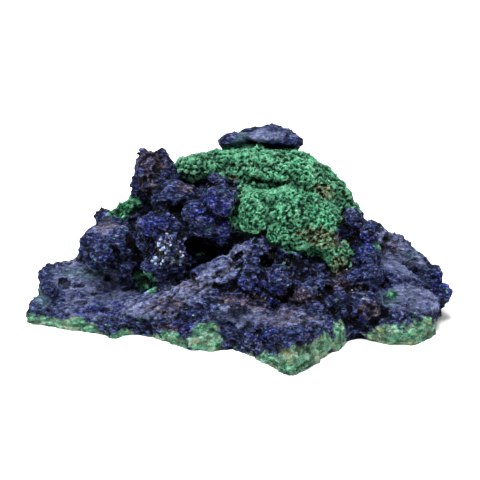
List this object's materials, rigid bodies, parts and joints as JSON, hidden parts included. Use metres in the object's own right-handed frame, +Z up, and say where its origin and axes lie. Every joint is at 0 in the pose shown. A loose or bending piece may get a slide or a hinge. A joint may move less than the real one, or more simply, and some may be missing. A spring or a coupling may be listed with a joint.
{
  "type": "azurite specimen",
  "caption": "Craggy azurite on a thin malachite bed, with a tower, a hollow and a malachite crust that hangs over the front as a block; rests on a flat break.",
  "frame": {"origin": "on the flat rest face, below the middle of the specimen's box", "axes": "+Z up from the rest face, +X along the longest side with the tower on -X, -Y towards the front corner"},
  "size_m": [0.0906, 0.063, 0.0366],
  "materials": {
    "azurite": "rough",
    "malachite": "rough"
  },
  "bodies": {
    "root": {"azurite_specimen": "azurite"}
  },
  "joints": []
}
